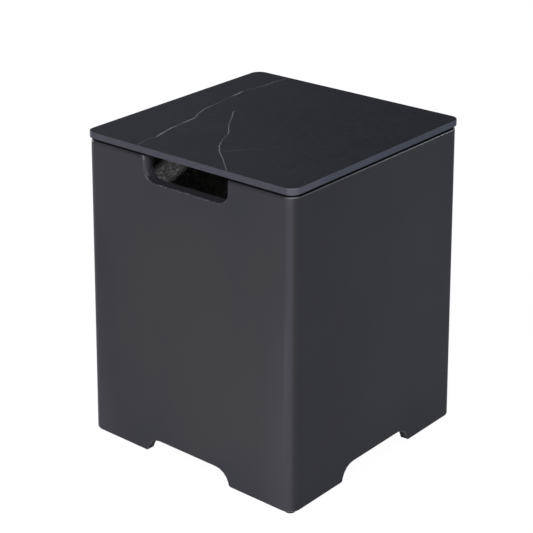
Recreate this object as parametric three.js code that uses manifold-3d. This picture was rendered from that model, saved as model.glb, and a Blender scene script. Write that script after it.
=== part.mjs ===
// Cover table for a portable gas cylinder: a hollow cast concrete body stands over the cylinder
// and carries a loose stone slab. Millimetres, +Z up, the floor at Z = 0 and the middle at X = Y = 0.
// The front faces -Y. The front and back walls have a hand slot, and all four have a floor arch.

import * as THREE from 'three';
import * as BufferGeometryUtils from 'three/addons/utils/BufferGeometryUtils.js';
import Module from 'manifold-3d';

const wasm = await Module();
wasm.setup();

// Cast body
const bodyHeight = 502;
const rimWidth = 408;
const wallLean = 8; // each outer face leans in by this from foot to rim
const rimWall = 20;
const footWall = 14;
const bodyCornerRadius = 20;
const innerCornerRadius = 30;
const arrisRounding = 2.5;

// Hand slots, open to the rim
const slotWidth = 168;
const slotDepth = 40;
const slotCornerRadius = 22;

// Floor arches
const archWidth = 172;
const archHeight = 26;
const archCornerRadius = 27;

// Slab
const slabOverhang = 1; // past the rim on each side
const slabThickness = 10;
const slabCornerRadius = 20;
const slabEasing = 0.8;

// Rim bumpers: rubber buttons that carry the slab and leave the shadow gap
const shadowGap = 4;
const bumperDiameter = 14;
const bumperStemDiameter = 5.6;
const bumperStemLength = 10;
const bumperEasing = 1;

// Foot glides
const glideHeight = 3;
const glideDiameter = 18;
const glideStemDiameter = 6.4;
const glideStemLength = 14;
const glideEasing = 1;

// Stems of both kinds, pushed into blind holes
const barbHeight = 0.4;
const barbLength = 2.4;
const barbCount = 2;
const stemClearance = 0.3;
const holeEndClearance = 1;

// Locator blocks and the pads that bond them to the slab
const locatorSize = 45;
const locatorHeight = 12;
const locatorClearance = 3; // play between block and wall
const locatorEasing = 1.5;
const locatorCornerRadius = 4;
const bondThickness = 1;
const bondSetback = 4;

// Cutting and faceting
const cutOverrun = 10;
const lipOverrun = 0.05; // a flared cutter ends this far outside the face it opens
const smallestRadius = 0.2;
const bodySteps = { corner: 8, rounding: 3 };
const slabSteps = { corner: 8, rounding: 2 };
const smallSteps = { corner: 4, rounding: 2 };
const buttonSegments = 20;

// Sizes that follow
const footWidth = rimWidth + 2 * wallLean;
const leanAngle = Math.atan2(wallLean, bodyHeight);
const rimTop = glideHeight + bodyHeight;
const slabBottom = rimTop + shadowGap;
const slabWidth = rimWidth + 2 * slabOverhang;
const slotSill = bodyHeight - slotDepth;
const innerRimHalf = rimWidth / 2 - rimWall;
const innerFootHalf = footWidth / 2 - footWall;
const cutLength = Math.max(rimWall, footWall) + wallLean + cutOverrun;

const materials = {
  concrete: new THREE.MeshStandardMaterial({ color: 0x434346, roughness: 0.75, metalness: 0 }),
  stone: new THREE.MeshStandardMaterial({ color: 0x303137, roughness: 0.5, metalness: 0 }),
  rubber: new THREE.MeshStandardMaterial({ color: 0x161617, roughness: 0.85, metalness: 0 }),
  nylon: new THREE.MeshStandardMaterial({ color: 0x1f1f21, roughness: 0.55, metalness: 0 }),
  plastic: new THREE.MeshStandardMaterial({ color: 0x26272a, roughness: 0.6, metalness: 0 }),
  foam: new THREE.MeshStandardMaterial({ color: 0x8b8c8e, roughness: 0.9, metalness: 0 }),
};

function solidOf(geometry) {
  const bare = geometry.clone();
  bare.deleteAttribute('normal');
  bare.deleteAttribute('uv');
  const merged = BufferGeometryUtils.mergeVertices(bare);
  return new wasm.Manifold(new wasm.Mesh({
    numProp: 3,
    vertProperties: new Float32Array(merged.attributes.position.array),
    triVerts: new Uint32Array(merged.index.array),
  }));
}

function geometryOf(solid) {
  const mesh = solid.getMesh();
  const geometry = new THREE.BufferGeometry();
  geometry.setAttribute('position', new THREE.BufferAttribute(mesh.vertProperties, 3));
  geometry.setIndex(new THREE.BufferAttribute(mesh.triVerts, 1));
  geometry.computeVertexNormals();
  return geometry;
}

function pieceOf(name, geometry, material) {
  const piece = new THREE.Mesh(geometry, material);
  piece.name = name;
  return piece;
}

// Corners of a rectangle, anticlockwise from the front right one
const cornerSigns = [[1, -1], [1, 1], [-1, 1], [-1, -1]];

// Outline of a rectangle with round corners. Inset draws its sides in and keeps each arc's centre.
function roundedRectangle({ x = 0, y = 0, half, radii, steps = bodySteps }, inset) {
  return cornerSigns.flatMap(([signX, signY], corner) => {
    const radius = Math.max(radii[corner] - inset, smallestRadius);
    const reach = half - inset - radius;
    return Array.from({ length: steps.corner + 1 }, (_, step) => {
      const angle = (corner - 1 + step / steps.corner) * Math.PI / 2;
      return [
        x + signX * reach + radius * Math.cos(angle),
        y + signY * reach + radius * Math.sin(angle),
      ];
    });
  });
}

// Closed solid through level outlines of equal count, from the lowest to the highest
function lofted(levels) {
  const count = levels[0].outline.length;
  const positions = levels.flatMap(({ z, outline }) => outline.flatMap(([x, y]) => [x, y, z]));
  const index = [];
  for (let level = 0; level < levels.length - 1; level += 1) {
    for (let point = 0; point < count; point += 1) {
      const low = level * count + point;
      const lowNext = level * count + (point + 1) % count;
      index.push(low, lowNext, lowNext + count, low, lowNext + count, low + count);
    }
  }
  const capCentre = ({ z, outline }) => {
    const sum = outline.reduce(([sumX, sumY], [x, y]) => [sumX + x, sumY + y], [0, 0]);
    positions.push(sum[0] / count, sum[1] / count, z);
    return positions.length / 3 - 1;
  };
  const bottomCentre = capCentre(levels[0]);
  const topCentre = capCentre(levels.at(-1));
  const topStart = (levels.length - 1) * count;
  for (let point = 0; point < count; point += 1) {
    const next = (point + 1) % count;
    index.push(bottomCentre, next, point, topCentre, topStart + point, topStart + next);
  }
  const geometry = new THREE.BufferGeometry();
  geometry.setAttribute('position', new THREE.Float32BufferAttribute(positions, 3));
  geometry.setIndex(index);
  geometry.computeVertexNormals();
  return geometry;
}

// Quarter round on a level's edge: how far each step lies from the face, and how far it is set back
function quarterRound(radius, steps) {
  return Array.from({ length: steps.rounding + 1 }, (_, step) => {
    const angle = (step / steps.rounding) * Math.PI / 2;
    return { rise: radius * (1 - Math.cos(angle)), setback: radius * (1 - Math.sin(angle)) };
  });
}

// Levels from zero up to a height with both edges rounded. A negative sign flares them instead.
function edgedLevels(height, rounding, outlineAt, steps, sign = 1) {
  const edge = quarterRound(rounding, steps);
  const levelAt = (z, setback) => ({ z, outline: outlineAt(z, sign * setback) });
  const lower = edge.map(({ rise, setback }) => levelAt(rise, setback));
  const upper = edge.map(({ rise, setback }) => levelAt(height - rise, setback));
  return [...lower, ...upper.reverse()];
}

// Round square of the body at a height above its foot, between its width at the foot and at the rim
function bodyOutline(footHalf, rimHalf, radius) {
  return (z, inset) => roundedRectangle({
    half: THREE.MathUtils.mapLinear(z, 0, bodyHeight, footHalf, rimHalf),
    radii: cornerSigns.map(() => radius),
  }, inset);
}

// Cutter that opens the front wall: its outline stands upright on the wall's outer face,
// and its end flares so that the opening gets a rounded arris outside.
function frontCutter(outline) {
  const cutter = new THREE.ExtrudeGeometry(outline, {
    depth: cutLength,
    curveSegments: bodySteps.corner,
    bevelThickness: arrisRounding,
    bevelSize: -arrisRounding,
    bevelOffset: arrisRounding,
    bevelSegments: bodySteps.rounding,
  });
  cutter.translate(0, 0, lipOverrun - arrisRounding - cutLength);
  cutter.rotateX(Math.PI / 2 - leanAngle);
  cutter.translate(0, -footWidth / 2, 0);
  return cutter;
}

function slotOutline() {
  const half = slotWidth / 2;
  const radius = Math.min(slotCornerRadius, slotDepth, half);
  const outline = new THREE.Shape();
  outline.moveTo(-half, bodyHeight + cutOverrun);
  outline.lineTo(-half, slotSill + radius);
  outline.absarc(-half + radius, slotSill + radius, radius, Math.PI, 3 * Math.PI / 2);
  outline.absarc(half - radius, slotSill + radius, radius, 3 * Math.PI / 2, 2 * Math.PI);
  outline.lineTo(half, bodyHeight + cutOverrun);
  return outline;
}

function archOutline() {
  const half = archWidth / 2;
  const radius = Math.min(archCornerRadius, half);
  const arcHeight = archHeight - radius;
  const base = Math.min(arcHeight, 0) - cutOverrun;
  const outline = new THREE.Shape();
  outline.moveTo(half, base);
  outline.lineTo(half, arcHeight);
  outline.absarc(half - radius, arcHeight, radius, 0, Math.PI / 2);
  outline.absarc(-half + radius, arcHeight, radius, Math.PI / 2, Math.PI);
  outline.lineTo(-half, base);
  return outline;
}

// Middle of the wall at the corner, along the diagonal, as both its X and its distance in Y
function cornerMiddle(outerHalf, innerHalf) {
  const arcShare = 1 - Math.SQRT1_2;
  const outer = outerHalf - bodyCornerRadius * arcShare;
  const inner = innerHalf - innerCornerRadius * arcShare;
  return (outer + inner) / 2;
}

const bumperPlace = cornerMiddle(rimWidth / 2, innerRimHalf);
const glidePlace = cornerMiddle(footWidth / 2, innerFootHalf);

// Blind hole for a stem, drilled from a face at the given height, up (1) or down (-1)
function stemHole(place, face, direction, stemDiameter, stemLength) {
  const radius = stemDiameter / 2 + barbHeight + stemClearance;
  const depth = stemLength + holeEndClearance;
  const hole = new THREE.CylinderGeometry(radius, radius, depth + cutOverrun, buttonSegments);
  hole.rotateX(Math.PI / 2);
  hole.translate(place, -place, face + direction * (depth - cutOverrun) / 2);
  return hole;
}

function bodyGeometry() {
  const outerOutline = bodyOutline(footWidth / 2, rimWidth / 2, bodyCornerRadius);
  const outside = edgedLevels(bodyHeight, arrisRounding, outerOutline, bodySteps);
  const coreOutline = bodyOutline(innerFootHalf, innerRimHalf, innerCornerRadius);
  const core = edgedLevels(bodyHeight, arrisRounding, coreOutline, bodySteps, -1);
  core.unshift({ z: -cutOverrun, outline: coreOutline(0, -arrisRounding) });
  core.push({ z: bodyHeight + cutOverrun, outline: coreOutline(bodyHeight, -arrisRounding) });

  const slot = solidOf(frontCutter(slotOutline()));
  const arch = solidOf(frontCutter(archOutline()));
  const holes = [
    stemHole(bumperPlace, bodyHeight, -1, bumperStemDiameter, bumperStemLength),
    stemHole(glidePlace, 0, 1, glideStemDiameter, glideStemLength),
  ].map(solidOf);

  let body = solidOf(lofted(outside)).subtract(solidOf(lofted(core)));
  cornerSigns.forEach((_, quarter) => {
    const turn = [0, 0, 90 * quarter];
    body = body.subtract(arch.rotate(turn));
    if (quarter % 2 === 0) {
      body = body.subtract(slot.rotate(turn));
    }
    holes.forEach((hole) => {
      body = body.subtract(hole.rotate(turn));
    });
  });
  return geometryOf(body);
}

// Button with a barbed stem below its head, which sits on z = 0. Downward hangs it head down.
function buttonGeometry({ diameter, height, easing, stemDiameter, stemLength, downward = false }) {
  const stem = stemDiameter / 2;
  const head = diameter / 2;
  const tip = stem - barbHeight;
  const profile = [[0, -stemLength], [tip, -stemLength], [stem, barbHeight - stemLength]];
  const barbPitch = (stemLength - barbHeight) / (barbCount + 1);
  const barbRise = Math.min(barbLength, barbPitch);
  for (let barb = 0; barb < barbCount; barb += 1) {
    const top = barbHeight - stemLength + barbPitch * barb + barbRise;
    profile.push([stem + barbHeight, top], [stem, top]);
    if (barbRise < barbPitch) {
      profile.push([stem, top + barbPitch - barbRise]);
    }
  }
  profile.push([stem, 0], [head, 0]);
  quarterRound(easing, smallSteps).reverse().forEach(({ rise, setback }) => {
    profile.push([head - setback, height - rise]);
  });
  profile.push([0, height]);
  const points = profile.map(([radius, z]) => new THREE.Vector2(radius, downward ? -z : z));
  const button = new THREE.LatheGeometry(downward ? points.reverse() : points, buttonSegments);
  button.rotateX(Math.PI / 2);
  return button;
}

function slabGeometry() {
  const plan = {
    half: slabWidth / 2,
    radii: cornerSigns.map(() => slabCornerRadius),
    steps: slabSteps,
  };
  const outlineAt = (z, inset) => roundedRectangle(plan, inset);
  return lofted(edgedLevels(slabThickness, slabEasing, outlineAt, slabSteps));
}

// Plan of the locator block in the front right corner. Its outer corner follows the wall's inner one.
function locatorPlan() {
  const middle = innerRimHalf - locatorClearance - locatorSize / 2;
  const fittedRadius = Math.max(innerCornerRadius - locatorClearance, locatorCornerRadius);
  const outerRadius = Math.min(fittedRadius, locatorSize - locatorCornerRadius);
  return {
    x: middle,
    y: -middle,
    half: locatorSize / 2,
    radii: [outerRadius, locatorCornerRadius, locatorCornerRadius, locatorCornerRadius],
    steps: smallSteps,
  };
}

function locatorGeometry() {
  const outlineAt = (z, inset) => roundedRectangle(locatorPlan(), inset);
  return lofted(edgedLevels(locatorHeight, locatorEasing, outlineAt, smallSteps));
}

function bondGeometry() {
  const outline = roundedRectangle(locatorPlan(), bondSetback);
  return lofted([0, bondThickness].map((z) => ({ z, outline })));
}

const bumperGeometry = buttonGeometry({
  diameter: bumperDiameter,
  height: shadowGap,
  easing: bumperEasing,
  stemDiameter: bumperStemDiameter,
  stemLength: bumperStemLength,
});

const glideGeometry = buttonGeometry({
  diameter: glideDiameter,
  height: glideHeight,
  easing: glideEasing,
  stemDiameter: glideStemDiameter,
  stemLength: glideStemLength,
  downward: true,
});

const corners = ['front_right', 'back_right', 'back_left', 'front_left'];

// One group for each corner, turned from the front right one, with what the callback adds to it
function atEachCorner(addPieces) {
  return corners.map((corner, quarter) => {
    const group = new THREE.Group();
    group.rotation.z = quarter * Math.PI / 2;
    addPieces(group, corner);
    return group;
  });
}

function baseGroup() {
  const base = new THREE.Group();
  const body = pieceOf('cast_body', bodyGeometry(), materials.concrete);
  body.position.z = glideHeight;
  base.add(body, ...atEachCorner((group, corner) => {
    const bumper = pieceOf(`rim_bumper_${corner}`, bumperGeometry, materials.rubber);
    bumper.position.set(bumperPlace, -bumperPlace, rimTop);
    const glide = pieceOf(`foot_glide_${corner}`, glideGeometry, materials.nylon);
    glide.position.set(glidePlace, -glidePlace, glideHeight);
    group.add(bumper, glide);
  }));
  return base;
}

function lidGroup() {
  const lid = new THREE.Group();
  const slab = pieceOf('tabletop', slabGeometry(), materials.stone);
  slab.position.z = slabBottom;
  const block = locatorGeometry();
  const pad = bondGeometry();
  lid.add(slab, ...atEachCorner((group, corner) => {
    const bond = pieceOf(`bond_pad_${corner}`, pad, materials.foam);
    bond.position.z = slabBottom - bondThickness;
    const locator = pieceOf(`locator_block_${corner}`, block, materials.plastic);
    locator.position.z = slabBottom - bondThickness - locatorHeight;
    group.add(bond, locator);
  }));
  return lid;
}

const table = new THREE.Group();
table.add(baseGroup(), lidGroup());

export default table;
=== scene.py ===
"""Cover table for a portable gas cylinder: its looks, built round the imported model. Lengths are in metres."""

import math

import bmesh
import bpy
from mathutils import Matrix, Vector


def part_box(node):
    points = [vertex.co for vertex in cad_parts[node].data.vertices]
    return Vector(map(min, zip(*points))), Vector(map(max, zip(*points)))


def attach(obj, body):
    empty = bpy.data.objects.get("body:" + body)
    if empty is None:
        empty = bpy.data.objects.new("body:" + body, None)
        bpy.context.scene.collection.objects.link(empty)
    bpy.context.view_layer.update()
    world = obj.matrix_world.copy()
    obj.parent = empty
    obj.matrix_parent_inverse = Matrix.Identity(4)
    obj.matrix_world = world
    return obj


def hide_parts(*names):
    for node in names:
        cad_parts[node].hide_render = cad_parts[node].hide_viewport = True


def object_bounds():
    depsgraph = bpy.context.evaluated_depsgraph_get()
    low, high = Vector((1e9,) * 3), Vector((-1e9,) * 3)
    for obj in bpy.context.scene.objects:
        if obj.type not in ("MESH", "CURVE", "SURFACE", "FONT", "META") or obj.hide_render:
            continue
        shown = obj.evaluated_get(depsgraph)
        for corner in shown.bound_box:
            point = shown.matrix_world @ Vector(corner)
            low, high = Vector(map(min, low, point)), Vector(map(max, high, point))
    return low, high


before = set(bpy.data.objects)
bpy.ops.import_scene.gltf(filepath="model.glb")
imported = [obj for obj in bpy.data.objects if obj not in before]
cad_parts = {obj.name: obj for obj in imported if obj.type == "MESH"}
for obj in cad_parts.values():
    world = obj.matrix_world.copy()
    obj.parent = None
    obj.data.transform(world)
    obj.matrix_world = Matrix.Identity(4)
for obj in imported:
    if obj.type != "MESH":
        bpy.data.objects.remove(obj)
cad_low, cad_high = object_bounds()
body_low, body_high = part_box("cast_body")
slab_low, slab_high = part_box("tabletop")

# Camera
PHOTO_SIDE = 533  # pixels
PRINCIPAL_PIXEL = (191.8, 299.8)  # where the lens axis meets the picture
FOCAL_PIXELS = 1582.2
SENSOR_WIDTH = 36  # millimetres, as Blender counts it
CAMERA_PLACE = (1.4815, -1.7872, 1.2887)
CAMERA_AZIMUTH = 42.904  # degrees from the front towards the right
CAMERA_ELEVATION = 24.647
CAMERA_ROLL = -1.217

# Cast body
RIM_WIDTH = 0.408
WALL_LEAN = 0.008  # each outer face leans in by this from foot to rim
RIM_WALL = 0.020
FOOT_WALL = 0.014
BODY_CORNER_RADIUS = 0.020
INNER_CORNER_RADIUS = 0.030
ARRIS_ROUNDING = 0.0025
FOOT_ROUNDING = 0.0035  # along the bottom of the outer faces
ARCH_END_ROUNDING = 0.006  # where an arch ends at the floor
WORN_ROUNDING = 0.0045  # at the top of the front slot's left end, where hands wear it
SLOT_WIDTH = 0.165
SLOT_OFFSET = 0.001  # to the right of the wall's middle, seen from outside
SLOT_DEPTH = 0.039
SLOT_CORNER_RADIUS = 0.020
ARCH_WIDTH = 0.172
ARCH_HEIGHT = 0.026
ARCH_CORNER_RADIUS = 0.027
CUT_OVERRUN = 0.010
ROUGH_CELL = 0.006  # mesh size on the rough inside
ROUGH_HEIGHT = 0.0012
ROUGH_PATCH = 0.014

# Slab
SLAB_CORNER_RADIUS = 0.018
SLAB_EASING = 0.0008

# Buttons: the bumpers under the slab and the glides under the feet
BUMPER = {"diameter": 0.014, "easing": 0.001, "stem": 0.0056, "stem_length": 0.010}
GLIDE = {"diameter": 0.018, "easing": 0.001, "stem": 0.0064, "stem_length": 0.014}
BARB_HEIGHT = 0.0004
BARB_LENGTH = 0.0024
BARB_COUNT = 2
STEM_CLEARANCE = 0.0003
HOLE_END_CLEARANCE = 0.001
DIMPLE_DIAMETER = 0.005
DIMPLE_DEPTH = 0.0004

# Locator blocks and the foam pads that bond them to the slab
LOCATOR_EASING = 0.0015
LOCATOR_CORNER_RADIUS = 0.004
LOCATOR_OUTER_RADIUS = 0.027
LOCATOR_POCKET_RIM = 0.005
LOCATOR_POCKET_DEPTH = 0.003
BOND_OUTER_RADIUS = 0.023

CORNERS = ("front_right", "back_right", "back_left", "front_left")

# Sizes that follow
RIM_HALF = RIM_WIDTH / 2
FOOT_HALF = RIM_HALF + WALL_LEAN
INNER_RIM_HALF = RIM_HALF - RIM_WALL
INNER_FOOT_HALF = FOOT_HALF - FOOT_WALL
FOOT_LEVEL = body_low.z
RIM_LEVEL = body_high.z
OBJECT_MIDDLE = (cad_low + cad_high) / 2
SLOT_LEFT_END = SLOT_OFFSET - SLOT_WIDTH / 2
SILL_LEVEL = RIM_LEVEL - SLOT_DEPTH

# On the left wall's inside, where the low lamp shines through the back slot
LIT_PATCH = (-INNER_RIM_HALF, -0.035, 0.405)

# At the front slot's left end, where the painted highlight is brightest
SLOT_END_HIGHLIGHT_SPOT = (SLOT_LEFT_END + 0.001, -RIM_HALF, RIM_LEVEL - 0.002)

# Segments in a quarter circle
CORNER_SEGMENTS = 14
SLOT_SEGMENTS = 8
ARCH_SEGMENTS = 5
ARRIS_SEGMENTS = 4
EASING_SEGMENTS = 3

BUTTON_SEGMENTS = 48  # all the way round
WORN_BANDS = 5  # steps in which the slot's worn end widens

NEAR = 0.0002  # places closer than this count as one
MERGE_DISTANCE = 0.00001
SHARP_ANGLE = math.radians(32)
SMOOTH_ANGLE = math.radians(38)
ALONG_AXIS = 0.9  # a direction with more than this of an axis counts as along it
LEVEL_FACE = 0.99  # and a face is level where its normal has more than this of Z
OUTER_SHARE = 0.9  # what lies beyond this share of a half width is at its end


# Camera, floor and lights

def make_camera():
    turn = (Matrix.Rotation(math.radians(CAMERA_AZIMUTH), 4, "Z")
            @ Matrix.Rotation(math.radians(90 - CAMERA_ELEVATION), 4, "X")
            @ Matrix.Rotation(math.radians(CAMERA_ROLL), 4, "Z"))
    bpy.ops.object.camera_add()
    camera = bpy.context.active_object
    camera.matrix_world = Matrix.Translation(CAMERA_PLACE) @ turn
    camera.data.sensor_width = SENSOR_WIDTH
    camera.data.lens = FOCAL_PIXELS / PHOTO_SIDE * SENSOR_WIDTH
    camera.data.shift_x = 0.5 - PRINCIPAL_PIXEL[0] / PHOTO_SIDE
    camera.data.shift_y = PRINCIPAL_PIXEL[1] / PHOTO_SIDE - 0.5
    bpy.context.scene.camera = camera


def make_lamp(name, target, azimuth, elevation, distance, size, power, colour):
    """A square area lamp aimed at a target, from an azimuth and an elevation in degrees."""
    turn = math.radians(azimuth)
    rise = math.radians(elevation)
    outward = Vector((math.sin(turn) * math.cos(rise), -math.cos(turn) * math.cos(rise), math.sin(rise)))
    bpy.ops.object.light_add(type="AREA", location=Vector(target) + outward * distance)
    lamp = bpy.context.active_object
    lamp.name = name
    lamp.rotation_mode = "QUATERNION"
    lamp.rotation_quaternion = outward.to_track_quat("Z", "Y")
    lamp.data.size = size
    lamp.data.energy = power
    lamp.data.color = colour


# Materials

class Wire:
    """One output of a shader node. Arithmetic on wires and numbers adds Math nodes."""

    def __init__(self, recipe, socket):
        self.recipe = recipe
        self.socket = socket

    def _math(self, operation, *values):
        return self.recipe.node("Math", {"operation": operation}, dict(enumerate(values)))

    def __add__(self, other):
        return self._math("ADD", self, other)

    def __sub__(self, other):
        return self._math("SUBTRACT", self, other)

    def __mul__(self, other):
        return self._math("MULTIPLY", self, other)

    def __truediv__(self, other):
        return self._math("DIVIDE", self, other)

    def __rsub__(self, other):
        return self._math("SUBTRACT", other, self)

    def __abs__(self):
        return self._math("ABSOLUTE", self)

    def highest(self, other):
        return self._math("MAXIMUM", self, other)

    def lowest(self, other):
        return self._math("MINIMUM", self, other)

    __radd__ = __add__
    __rmul__ = __mul__


class Recipe:
    """A material, or the world, and the nodes that it is made of."""

    def __init__(self, owner):
        self.owner = owner
        owner.use_nodes = True
        self.tree = owner.node_tree
        self.tree.nodes.clear()

    def node(self, kind, settings=None, inputs=None, output=0):
        """Adds a node: its settings first, then the values or wires of its inputs, by name or number."""
        made = self.tree.nodes.new("ShaderNode" + kind)
        for name, value in (settings or {}).items():
            if name == "points":
                set_points(made.mapping, value)
            else:
                setattr(made, name, value)
        for key, value in (inputs or {}).items():
            if isinstance(value, Wire):
                self.tree.links.new(value.socket, made.inputs[key])
            else:
                made.inputs[key].default_value = value
        return Wire(self, made.outputs[output]) if len(made.outputs) else None

    def place(self, stretch=(1, 1, 1)):
        """The object's own coordinates, in metres, with each axis stretched."""
        place = self.node("TexCoord", output="Object")
        return self.node("VectorMath", {"operation": "MULTIPLY"}, {0: place, 1: stretch})

    def axes(self, vector):
        return [self.node("SeparateXYZ", inputs={0: vector}, output=axis) for axis in range(3)]

    def distance(self, vector, spot):
        return self.node("VectorMath", {"operation": "DISTANCE"}, {0: vector, 1: spot}, output="Value")

    def noise(self, vector, size, detail=3.0, roughness=0.5):
        """Noise from 0 to 1 whose patches are about one size across."""
        return self.node("TexNoise", inputs={
            "Vector": vector, "Scale": 1 / size, "Detail": detail, "Roughness": roughness})

    def step(self, value, low, high):
        """Rises smoothly from 0 at the low value to 1 at the high one. The high one may be the lesser."""
        if low > high:
            return 1 - self.step(value, high, low)
        return self.node("MapRange", {"interpolation_type": "SMOOTHSTEP"}, {
            "Value": value, "From Min": low, "From Max": high})

    def blend(self, share, first, second):
        """The first colour where the share is 0, and the second where it is 1."""
        return self.node("Mix", {"data_type": "RGBA"}, {0: share, 6: first, 7: second}, output=2)

    def blend_values(self, share, first, second):
        """The first value where the share is 0, and the second where it is 1."""
        return first + share * (second - first)

    def bump(self, height, depth):
        """A surface normal from a height of 0 to 1 that stands for a depth in metres."""
        return self.node("Bump", inputs={"Height": height, "Distance": depth})

    def edge_mask(self):
        """0 on the flat faces and rising on what turns between them."""
        normal = self.node("TexCoord", output="Normal")
        x, y, z = self.axes(normal)
        return 1 - abs(x).highest(abs(y)).highest(abs(z))

    def finish(self, **sockets):
        """Ends a material in one Principled shader."""
        inputs = {name.replace("_", " "): value for name, value in sockets.items()}
        shader = self.node("BsdfPrincipled", inputs=inputs)
        self.node("OutputMaterial", inputs={"Surface": shader})
        return self.owner


def set_points(mapping, points):
    curve = mapping.curves[0]
    while len(curve.points) < len(points):
        curve.points.new(0.5, 0.5)
    for point, (place, value) in zip(curve.points, points):
        point.location = (place, value)
    mapping.update()


def shade(red, green, blue):
    """A colour as a picture editor gives it, 0 to 255, made linear for the shader."""
    return tuple(((part / 255 + 0.055) / 1.055) ** 2.4 for part in (red, green, blue)) + (1,)


def recipe_for(name):
    return Recipe(bpy.data.materials.new(name))


def specks(recipe, place, spacing, radius, share):
    """Round specks of one radius, about one for each cell of the spacing, of which a share is kept."""
    inputs = {"Vector": place, "Scale": 1 / spacing}
    distance = recipe.node("TexVoronoi", inputs=inputs, output="Distance")
    chance = recipe.node("TexVoronoi", inputs=inputs, output="Color")
    kept = recipe.step(recipe.axes(chance)[0], share + 0.01, share)
    return recipe.step(distance, radius / spacing, 0.4 * radius / spacing) * kept


# Outside of the casting. Each range runs from where a mark is nothing to where it is full.
CORNER_RANGE = (SLOT_WIDTH / 2 + ARRIS_ROUNDING, INNER_RIM_HALF - INNER_CORNER_RADIUS)
ROUND_RANGE = (RIM_HALF - BODY_CORNER_RADIUS, RIM_HALF - 0.2 * BODY_CORNER_RADIUS)
LOW_RANGE = (0.42, 0.12)
NEAR_RIM_RANGE = (RIM_LEVEL - 0.020, RIM_LEVEL - 0.002)
SLAB_SHADOW_RANGE = (RIM_LEVEL - 0.005, RIM_LEVEL - 0.001)
SLOT_RANGE = (SILL_LEVEL - 0.004, SILL_LEVEL - 0.002)
SLOT_END_RANGE = (RIM_HALF - 0.018, RIM_HALF - 0.004)
MOUTH_LIGHT_RANGE = (RIM_HALF - 0.011, RIM_HALF - 0.004)
BESIDE_CORNER_RANGE = (RIM_HALF - 0.060, RIM_HALF - 0.004)
LEFT_CORNER_RANGE = (-0.10, -0.19)
PAINTED_SHADE_LEFT_RANGE = (-0.135, -0.185)
SIDE_PAINTED_LIGHT_RANGE = (-0.10, 0.00)
SLOT_END_HIGHLIGHT_RANGE = (0.008, 0.003)
WALL_DIVIDE = 0.001  # half the width of the soft line between front and side walls
MIDDLE = (0.028, 0.25)  # of the warm clouds on the front: to the right, and up
MIDDLE_WIDTH_RANGE = (0.170, 0.105)
MIDDLE_HEIGHT_RANGE = (0.24, 0.12)
PAINTED_SHADE_LEFT_LEVEL = 0.22
PAINTED_SHADE_LEFT_HEIGHT_RANGE = (0.20, 0.08)
SIDE_PAINTED_LIGHT_LEVEL = 0.23
SIDE_PAINTED_LIGHT_HEIGHT_RANGE = (0.22, 0.10)

CLOUD_SIZE = 0.12
SAND_SIZE = 0.0016
PINHOLE_SPACING = 0.022
PINHOLE_RADIUS = 0.0008
CHALK_SPACING = 0.030
CHALK_RADIUS = 0.0006
RUB_SIZE = 0.007
CHIP_SIZE = 0.005
SMEAR_SIZE = 0.007
RIPPLE_SIZE = 0.006
FACE_RELIEF = 0.00016


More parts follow.
